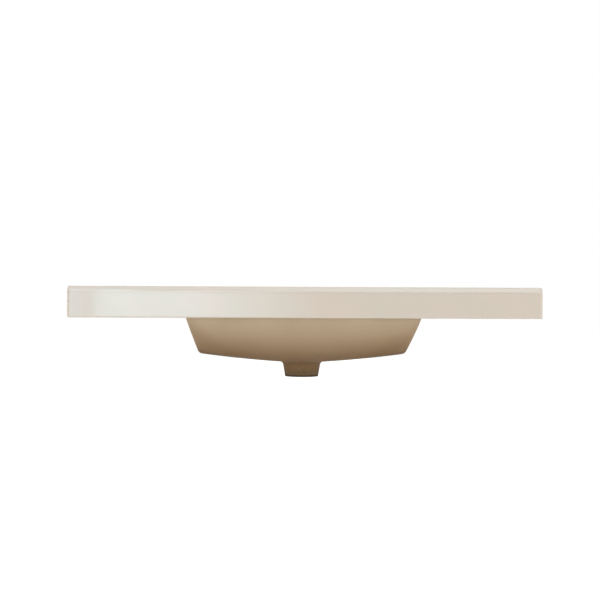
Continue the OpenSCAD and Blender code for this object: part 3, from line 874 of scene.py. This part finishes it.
def end_profile(half, bottom_z, hub, foot, wall_steps, foot_steps, floor_steps):
    """An end wall and its floor as (half width, level), from the rim to the ring round the outlet."""
    foot_z = bottom_z + floor_rise
    foot_x = half - math.tan(end_lean) * (rim_z - foot_z)
    run = foot_x - hub

    def floor_at(t):
        return Vector((hub + run * t, bottom_z + floor_rise * between(t, t * t, floor_bow)))

    corner = Vector((foot_x, foot_z))
    wall_end = corner + foot * Vector((math.sin(end_lean), math.cos(end_lean)))
    floor_end = floor_at(1 - foot / run)
    wall = [Vector((half, rim_z)).lerp(wall_end, k / wall_steps) for k in range(wall_steps)]
    bend = [wall_end.lerp(corner, k / foot_steps).lerp(corner.lerp(floor_end, k / foot_steps), k / foot_steps)
            for k in range(foot_steps + 1)]
    fall = [floor_at((1 - foot / run) * (1 - k / floor_steps)) for k in range(1, floor_steps + 1)]
    return [tuple(point) for point in wall + bend + fall]


def reach_at(at_rim, hub, share, fullness):
    """How far the front or rear wall stands from the outlet's axis at a share of the bowl's depth."""
    return hub + (at_rim - hub) * max(0.0, 1 - share ** fullness) ** (1 / fullness)


def bowl_level(half, z, front, rear, corner, bottom_z, hub, glaze, grow=0.0):
    """One outline of the bowl, whose plan corners open as it goes down, until it is round at the outlet."""
    share = (rim_z - z) / (rim_z - bottom_z)
    front_now = reach_at(front, hub, share, front_fullness)
    rear_now = reach_at(rear, hub, share, rear_fullness)
    opening = share ** corner_growth
    front_corner = min(between(corner, front_now, opening), front_now, half)
    rear_corner = min(between(corner, rear_now, opening), rear_now, half)
    return level(half + grow, front_now + grow, rear_now + grow, front_corner + grow, z, glaze,
                 rear_corner + grow)


def ring_level(radius, z, glaze):
    return level(radius, radius, radius, radius, z, glaze)


def basin_level(half, z, glaze=1.0, grow=0.0):
    """One outline of the basin, inside the bowl."""
    return bowl_level(half, z, mouth_front, mouth_rear, mouth_corner_r, floor_z, hub_inside, glaze, grow)


def shell_level(half, z, grow=0.0):
    """One outline of the bowl's outside, left unglazed."""
    return bowl_level(half, z, shell_front, shell_rear, shell_corner_r, bowl_under_z, hub_outside, 0.0, grow)


fillet_z = rim_z - flange_t - under_flange_r
shell_profile = end_profile(half_shell, bowl_under_z, hub_outside, foot_outside,
                            wall_steps=24, foot_steps=8, floor_steps=24)
basin_profile = end_profile(half_mouth, floor_z, hub_inside, foot_inside,
                            wall_steps=18, foot_steps=12, floor_steps=24)
# The first outline starts below the rim's round
inside = [basin_level(half, min(z, rim_z - rim_round)) for half, z in basin_profile]
outside = [shell_level(half, z) for half, z in shell_profile if z < fillet_z]


def flange_level(inset, z):
    """The flange's own outline, drawn in by a distance."""
    return level(flange_high.x - inset, outlet_y - flange_low.y - inset, flange_high.y - outlet_y - inset,
                 flange_corner_r - inset, z, 0.0)


# The waste's seat and the outlet's bore, glazed down to just below the floor
seat_arris, bore_arris = 0.5 * mm, 1.5 * mm
seat_z = floor_z - waste_seat_h
outlet = [ring_level(r, z, 1.0) for r, z in (
    (waste_seat_r + seat_arris, floor_z), (waste_seat_r, floor_z - seat_arris), (waste_seat_r, seat_z),
    (outlet_r + bore_arris, seat_z), (outlet_r, seat_z - bore_arris), (outlet_r, bowl_under_z))]
# The boss: its bore, its mouth's two rounds, and the fillet that leads back to the bowl
bore_end = boss_mouth_z + boss_round
lean = math.degrees(boss_lean)
boss_section = [(outlet_r, bowl_under_z - glaze_under)]
boss_section += arc((outlet_r + boss_round, bore_end), boss_round, 180, 270, 4)
boss_section += arc((boss_r - boss_round, bore_end), boss_round, 270, 360 - lean, 5)
boss_section += arc((boss_top_r + boss_fillet_r / math.cos(boss_lean), bowl_under_z - boss_fillet_r),
                    boss_fillet_r, 180 - lean, 90, 8)
outlet += [ring_level(r, z, 0.0) for r, z in boss_section]
under_flange = [shell_level(half_shell - math.tan(end_lean) * (rim_z - z), z, grow=under_flange_r - inset)
                for inset, z in arc((0.0, fillet_z), under_flange_r, 0, 90, 6)]
flange = [flange_level(flange_round - inset, z) for inset, z in
          arc((0.0, rim_z - flange_t + flange_round), flange_round, 270, 360, 4)
          + arc((0.0, rim_z - flange_round), flange_round, 0, 90, 4)]
rim = [basin_level(half_mouth, rim_z, glaze, grow)
       for grow, glaze in ((rim_bare, 0.0), (rim_glazed, 1.0), (rim_round, 1.0))]

# Painted shade on the bare clay: it is palest at the rim, warmer and darker below it, darker still toward the
# floor, the ends and round the boss, and darkest in a thin band at the boss's mouth
tan, deep_shade = (0.717, 0.534, 0.363, 1), (0.206, 0.114, 0.046, 1)
boss_shade, darkest_shade = (0.164, 0.094, 0.041, 1), (0.03, 0.02, 0.007, 1)
# How much higher the painted shade reaches toward the bowl's ends
shade_bow = 7.9
shade_steps = [(tan, -14 * mm, -58 * mm, 1.0), (deep_shade, 5 * mm, -96 * mm, 0.89),
           (boss_shade, bowl_under_z + 3 * mm, bowl_under_z - 5 * mm, 1.0),
           (darkest_shade, boss_mouth_z + 19 * mm, boss_mouth_z + 11 * mm, 0.33),
           (darkest_shade, boss_mouth_z + 5 * mm, boss_mouth_z + 4 * mm, 0.8)]
bowl_ware = glazed_ware("bowl_ware", (0.720, 0.592, 0.428, 1), (0.676, 0.546, 0.385, 1),
                        (0.42, 0.32, 0.22, 1), 0.22, (shade_bow, shade_steps))
bowl = skin("bowl_cast", inside + outlet + outside[::-1] + under_flange + flange + rim, bowl_ware,
            corner_steps=20)

# The overflow's bore through the rear wall, with the seat for its ring, and the port into the outlet
overflow_z = 17 * mm
seat_in_wall = 0.5 * mm
overflow_spot = Vector((0.0, outlet_y + mouth_rear + seat_in_wall, overflow_z))
overflow_turn = Matrix.Translation(overflow_spot) @ Matrix.Rotation(-math.pi / 2, 4, "X")
overflow_bore_r = 12.5 * mm
ring_r = 16.5 * mm
seat_r = ring_r + hole_gap
bore_tool = turned("bore_tool", [(0.0, -wall_t), (seat_r, -wall_t), (seat_r, 0.0), (overflow_bore_r, 0.0),
                                 (overflow_bore_r, 2 * wall_t), (0.0, 2 * wall_t)], steps=64)
bore_tool.matrix_basis = overflow_turn
port_w, port_h = 22 * mm, 9 * mm
port_below_floor = 2 * mm
port_round = 1.5 * mm
port_middle_z = bowl_under_z - port_below_floor - port_h / 2
port_tool = new_piece("port_tool")


def cut_port(mesh):
    reach = Matrix.Translation((0, outlet_y + hub_outside / 2, port_middle_z))
    bmesh.ops.create_cube(mesh, size=1.0, matrix=reach @ Matrix.Diagonal((port_w, hub_outside, port_h, 1)))
    through = [edge for edge in mesh.edges if abs((edge.verts[0].co - edge.verts[1].co).y) > mm]
    bmesh.ops.bevel(mesh, geom=through, offset=port_round, segments=3, profile=0.5, affect="EDGES")


edit(port_tool, cut_port)
cut_away(bowl, joined("bowl_tools", [bore_tool, port_tool]))


def glaze_at_cuts(spot):
    """Glaze runs just round the overflow's seat; the bore behind it and the port are bare."""
    if math.hypot(spot.x, spot.z - overflow_z) < ring_r + past and spot.y > overflow_spot.y - wall_t:
        return float(spot.y < overflow_spot.y + past)
    return None


glaze_where(bowl, glaze_at_cuts)
dress(bowl, ["bowl"])

# Duct: a moulded channel bonded to the bowl's rear wall, which leads the overflow down to the port in
# the outlet. Its outer corners are round, and it is closed at its top.
duct_half_w = 25 * mm
duct_depth = 20 * mm
duct_t = 4 * mm
duct_round = 3.5 * mm
duct_gap = 0.2 * mm
duct_over_bore = 2 * mm
duct_top_z = overflow_z + overflow_bore_r + duct_over_bore + duct_t

rear_wall = [(reach_at(shell_rear, hub_outside, (rim_z - z) / (rim_z - bowl_under_z), rear_fullness), z)
             for half, z in shell_profile]


def wall_line(top_z):
    """The rear wall's line from a level down to the boss, as (distance behind the outlet's axis, level)."""
    below = [Vector(point) for point in rear_wall if point[1] < top_z]
    last_above = Vector(rear_wall[len(rear_wall) - len(below) - 1])
    start = last_above.lerp(below[0], (last_above.y - top_z) / (last_above.y - below[0].y))
    return [start, *below, Vector((boss_r - wall_t / 2, bowl_under_z))]


def channel(name, top_z, start, depth, half_w, rounding):
    """A solid band that follows the wall's line between two distances from it, its outer corners round."""
    line = wall_line(top_z)
    section = [(-half_w, start), *arc((rounding - half_w, depth - rounding), rounding, 180, 90, 5),
               *arc((half_w - rounding, depth - rounding), rounding, 90, 0, 5), (half_w, start)]
    points = []
    for k, spot in enumerate(line):
        step = line[min(k + 1, len(line) - 1)] - line[max(k - 1, 0)]
        out = Vector((-step.y, step.x)).normalized()
        for x, d in section:
            points.append((x, outlet_y + spot.x + out.x * d, spot.y + out.y * d))
    count = len(section)
    faces = [(k + j, k + (j + 1) % count, k + count + (j + 1) % count, k + count + j)
             for k in range(0, len(points) - count, count) for j in range(count)]
    faces += [range(count), range(len(points) - count, len(points))]
    piece = new_piece(name, points, faces)
    edit(piece, lambda made: None)
    return piece


duct_resin = one_stuff("duct_moulding", 26.0, (0.66, 0.645, 0.60, 1), (0.60, 0.585, 0.54, 1), (0.42, 0.55),
                       (300.0, 1500.0, 0.6), 0.08 * mm)
duct = channel("overflow_channel", duct_top_z, 0.0, duct_depth, duct_half_w, duct_round)
hollow = channel("duct_hollow", duct_top_z - duct_t, -past, duct_depth - duct_t, duct_half_w - duct_t,
                 duct_round / 2)
boss_low_r, boss_high_r = boss_r + duct_gap, boss_top_r + duct_gap
boss_loop = [(0.0, boss_mouth_z), (boss_low_r, boss_mouth_z), (boss_high_r, bowl_under_z),
             (boss_high_r, bowl_under_z + wall_t), (0.0, bowl_under_z + wall_t)]
boss_tool = turned("boss_tool", boss_loop, steps=96)
boss_tool.data.transform(Matrix.Translation((0, outlet_y, 0)))
for tool in (hollow, boss_tool):
    cut_away(duct, tool)
dress(duct, ["overflow_duct"], duct_resin)

# Studs: zinc-plated threaded rods screwed up into the brass inserts. Each carries one clip with its
# washer and nut, and stands a little out of the nut.
nut_h = 5 * mm
washer_t = 1.2 * mm
clip_t = 3 * mm
clip_z = rim_z - flange_t
washer_z = clip_z - clip_t
nut_z = washer_z - washer_t
stud_stands_out = 3 * mm
stud_short = 0.5 * mm
stud_low_z = nut_z - nut_h - stud_stands_out
stud_high_z = under_z + insert_h - stud_short
thread_pitch = 1 * mm
thread_depth = 0.55 * mm


def thread_tree():
    """A rod's skin whose radius follows a screw thread, drawn in to a point at both ends."""
    tree = bpy.data.node_groups.new("screw_thread", "GeometryNodeTree")
    given = lay_inputs(tree, {"Radius": "Float", "Depth": "Float", "Pitch": "Float", "From": "Float",
                              "To": "Float", "Rows": "Int", "Columns": "Int", "Material": "Material"})
    mesh, row, column = wrapped_grid(tree, given["Rows"], given["Columns"])
    turn = calc(tree, "DIVIDE", column, given["Columns"])
    length = calc(tree, "SUBTRACT", given["To"], given["From"])
    rise = calc(tree, "MULTIPLY", calc(tree, "DIVIDE", row, given["Rows"]), length)
    phase = calc(tree, "SUBTRACT", calc(tree, "DIVIDE", rise, given["Pitch"]), turn)
    wave = calc(tree, "MULTIPLY", calc(tree, "PINGPONG", phase, 0.5), 2.0)
    flank = ramp(tree, wave, 0.15, 0.85)
    radius = calc(tree, "SUBTRACT", given["Radius"], calc(tree, "MULTIPLY", given["Depth"], flank))
    # Each end starts this many thread depths in and widens at 45 degrees until it meets the thread
    point_depths = 1.6
    from_end = calc(tree, "MINIMUM", rise, calc(tree, "SUBTRACT", length, rise))
    core = calc(tree, "SUBTRACT", given["Radius"], calc(tree, "MULTIPLY", given["Depth"], point_depths))
    radius = calc(tree, "MINIMUM", radius, calc(tree, "ADD", core, from_end))
    angle = calc(tree, "MULTIPLY", turn, 2 * math.pi)
    x, y = [calc(tree, "MULTIPLY", radius, calc(tree, wave, angle)) for wave in ("COSINE", "SINE")]
    close_skin(tree, mesh, x, y, calc(tree, "ADD", given["From"], rise), given["Material"])
    return tree


zinc = metal("zinc_plate", (0.70, 0.71, 0.71, 1), (0.52, 0.53, 0.54, 1), (0.24, 0.42), 0.04 * mm)
stud = new_piece("stud")
rows_per_turn = 6
grow_by(stud, thread_tree(), {"Radius": stud_r, "Depth": thread_depth, "Pitch": thread_pitch,
                              "From": stud_low_z, "To": stud_high_z, "Material": zinc, "Columns": 18,
                              "Rows": round((stud_high_z - stud_low_z) / thread_pitch * rows_per_turn)})


def cap_ends(mesh):
    bmesh.ops.holes_fill(mesh, edges=[edge for edge in mesh.edges if edge.is_boundary])


edit(stud, cap_ends)
studs = copy_to_clips("clip_studs_threaded", out_to_stud(stud), zinc)
dress(studs, ["clip_studs"], sharp=50)

# Clips: strips of zinc-plated steel bent to an L. One end bites under the bowl's flange, the leg stands
# against the deck, and the nut on the stud between them draws the clip up.
clip_bite = 12 * mm
leg_out = 11 * mm
bend_r = 1.5 * mm
clip_round = 0.35 * mm
clip_corner = 3 * mm
clip_hole_r = stud_r + hole_gap

outer_bend_r = bend_r + clip_t / 2
clip_section = [(-clip_bite, washer_z)]
clip_section += arc((leg_out + clip_t - outer_bend_r, washer_z + outer_bend_r), outer_bend_r, 270, 360, 6)
clip_section += [(leg_out + clip_t, under_z), (leg_out, under_z)]
clip_section += arc((leg_out - bend_r, clip_z + bend_r), bend_r, 360, 270, 6)
clip_section += [(-clip_bite, clip_z)]
clip = new_piece("clip")


def press_clip(mesh):
    """The bent strip, its plan corners at the biting end cut off and its arrises rolled over."""
    ends = [[mesh.verts.new((side * clip_w / 2, y, z)) for y, z in clip_section] for side in (-1, 1)]
    for end in ends:
        mesh.faces.new(end)
    count = len(clip_section)
    for j in range(count):
        mesh.faces.new((ends[0][j], ends[0][(j + 1) % count], ends[1][(j + 1) % count], ends[1][j]))
    corners = [edge for edge in mesh.edges if all(abs(v.co.y + clip_bite) < weld for v in edge.verts)
               and abs(edge.verts[0].co.z - edge.verts[1].co.z) > past]
    bmesh.ops.bevel(mesh, geom=corners, offset=clip_corner, segments=4, profile=0.5, affect="EDGES")


edit(clip, press_clip)
clip_drill = straight_drill("clip_drill", clip_hole_r, washer_z - past, clip_z + past, steps=40)
cut_away(clip, out_to_stud(clip_drill))
rolled = clip.modifiers.new("arris", "BEVEL")
rolled.width = clip_round
rolled.segments = 2
rolled.limit_method = "ANGLE"
rolled.angle_limit = math.radians(40)
settle(clip)
clips = copy_to_clips("bowl_clips_bent", clip, zinc)
dress(clips, ["bowl_clips"], sharp=45)

# Washers and nuts: one plain washer and one hexagon nut on each stud, both zinc-plated. The nut's
# corners are chamfered on both faces, and its bore is countersunk.
washer_r = 7 * mm
washer_round = 0.3 * mm
washer_arris = 0.1 * mm
nut_flat = 5 * mm
nut_point = nut_flat / math.cos(math.pi / 6)
nut_face_r = 0.96 * nut_flat
nut_chamfer = math.radians(30)
countersink = 0.5 * mm

washer_loop = [(clip_hole_r, nut_z + washer_round), (clip_hole_r + washer_round, nut_z)]
washer_loop += arc((washer_r - washer_round, nut_z + washer_round), washer_round, 270, 360, 3)
washer_loop += [(washer_r, washer_z - washer_arris), (washer_r - washer_arris, washer_z),
                (clip_hole_r, washer_z)]
washers = copy_to_clips("clip_washers_plain", out_to_stud(turned("washer", washer_loop)), zinc)
dress(washers, ["clip_washers"])

corner_drop = (nut_point - nut_face_r) * math.tan(nut_chamfer)
chamfer = [(between(nut_face_r, nut_point, k / 5), corner_drop * k / 5) for k in range(6)]
nut_low_z = nut_z - nut_h
nut_loop = [(tapped_r, nut_low_z + countersink), (tapped_r + countersink, nut_low_z)]
nut_loop += [(r, nut_low_z + drop) for r, drop in chamfer]
nut_loop += [(r, nut_z - drop) for r, drop in reversed(chamfer)]
nut_loop += [(tapped_r + countersink, nut_z), (tapped_r, nut_z - countersink)]


def hexagon(angle):
    """How far a nut's side stands from its axis at an angle."""
    return nut_flat / math.cos((angle + math.pi / 6) % (math.pi / 3) - math.pi / 6)


nuts = copy_to_clips("clip_nuts_hex", out_to_stud(turned("nut", nut_loop, limit=hexagon)), zinc)
dress(nuts, ["clip_nuts"])

# Overflow ring and its gasket: a chromed brass ring whose sleeve is pushed into the overflow's bore,
# against a thin rubber gasket on the wall. Its face is slightly domed and its opening has a rolled lip.
ring_t = 2.5 * mm
gasket_t = 1 * mm
ring_opening_r = 9.5 * mm
sleeve_r = overflow_bore_r - hole_gap
sleeve_l = 8 * mm
lip_r = 0.9 * mm
ring_round = 1.4 * mm
ring_dome = 0.15 * mm
ring_arris, sleeve_arris = 0.2 * mm, 0.4 * mm

gasket_loop = [(overflow_bore_r, -gasket_t)]
gasket_loop += arc((ring_r - gasket_t / 2, -gasket_t / 2), gasket_t / 2, 270, 450, 8)
gasket_loop += [(overflow_bore_r, 0.0)]
gasket = turned("ring_gasket_rubber", gasket_loop, steps=72)
gasket.data.transform(overflow_turn)
rubber = one_stuff("gasket_rubber", 300.0, (0.030, 0.030, 0.030, 1), (0.016, 0.016, 0.016, 1), (0.62, 0.8),
                   (900.0, 2600.0, 0.5), 0.05 * mm)
dress(gasket, ["ring_gasket"], rubber)

face_z = -gasket_t - ring_t
sleeve_end_z = sleeve_l - gasket_t
lip_crest_r, round_r = ring_opening_r + lip_r, ring_r - ring_round
ring_loop = [(ring_opening_r, sleeve_end_z), (ring_opening_r, face_z + lip_r)]
ring_loop += arc((lip_crest_r, face_z + lip_r), lip_r, 180, 270, 6)
ring_loop += [(between(lip_crest_r, round_r, k / 4), face_z + ring_dome * math.sin(math.pi * k / 4))
              for k in range(1, 4)]
ring_loop += arc((round_r, face_z + ring_round), ring_round, 270, 360, 6)
ring_loop += [(ring_r, -gasket_t - ring_arris), (ring_r - ring_arris, -gasket_t), (sleeve_r, -gasket_t),
              (sleeve_r, sleeve_end_z - sleeve_arris), (sleeve_r - sleeve_arris, sleeve_end_z)]
ring = turned("overflow_ring_plated", ring_loop, steps=96)
ring.data.transform(overflow_turn)
chrome = metal("chrome_plate", (0.80, 0.81, 0.83, 1), (0.74, 0.75, 0.77, 1), (0.05, 0.12), 0.004 * mm)
dress(ring, ["overflow_ring"], chrome)
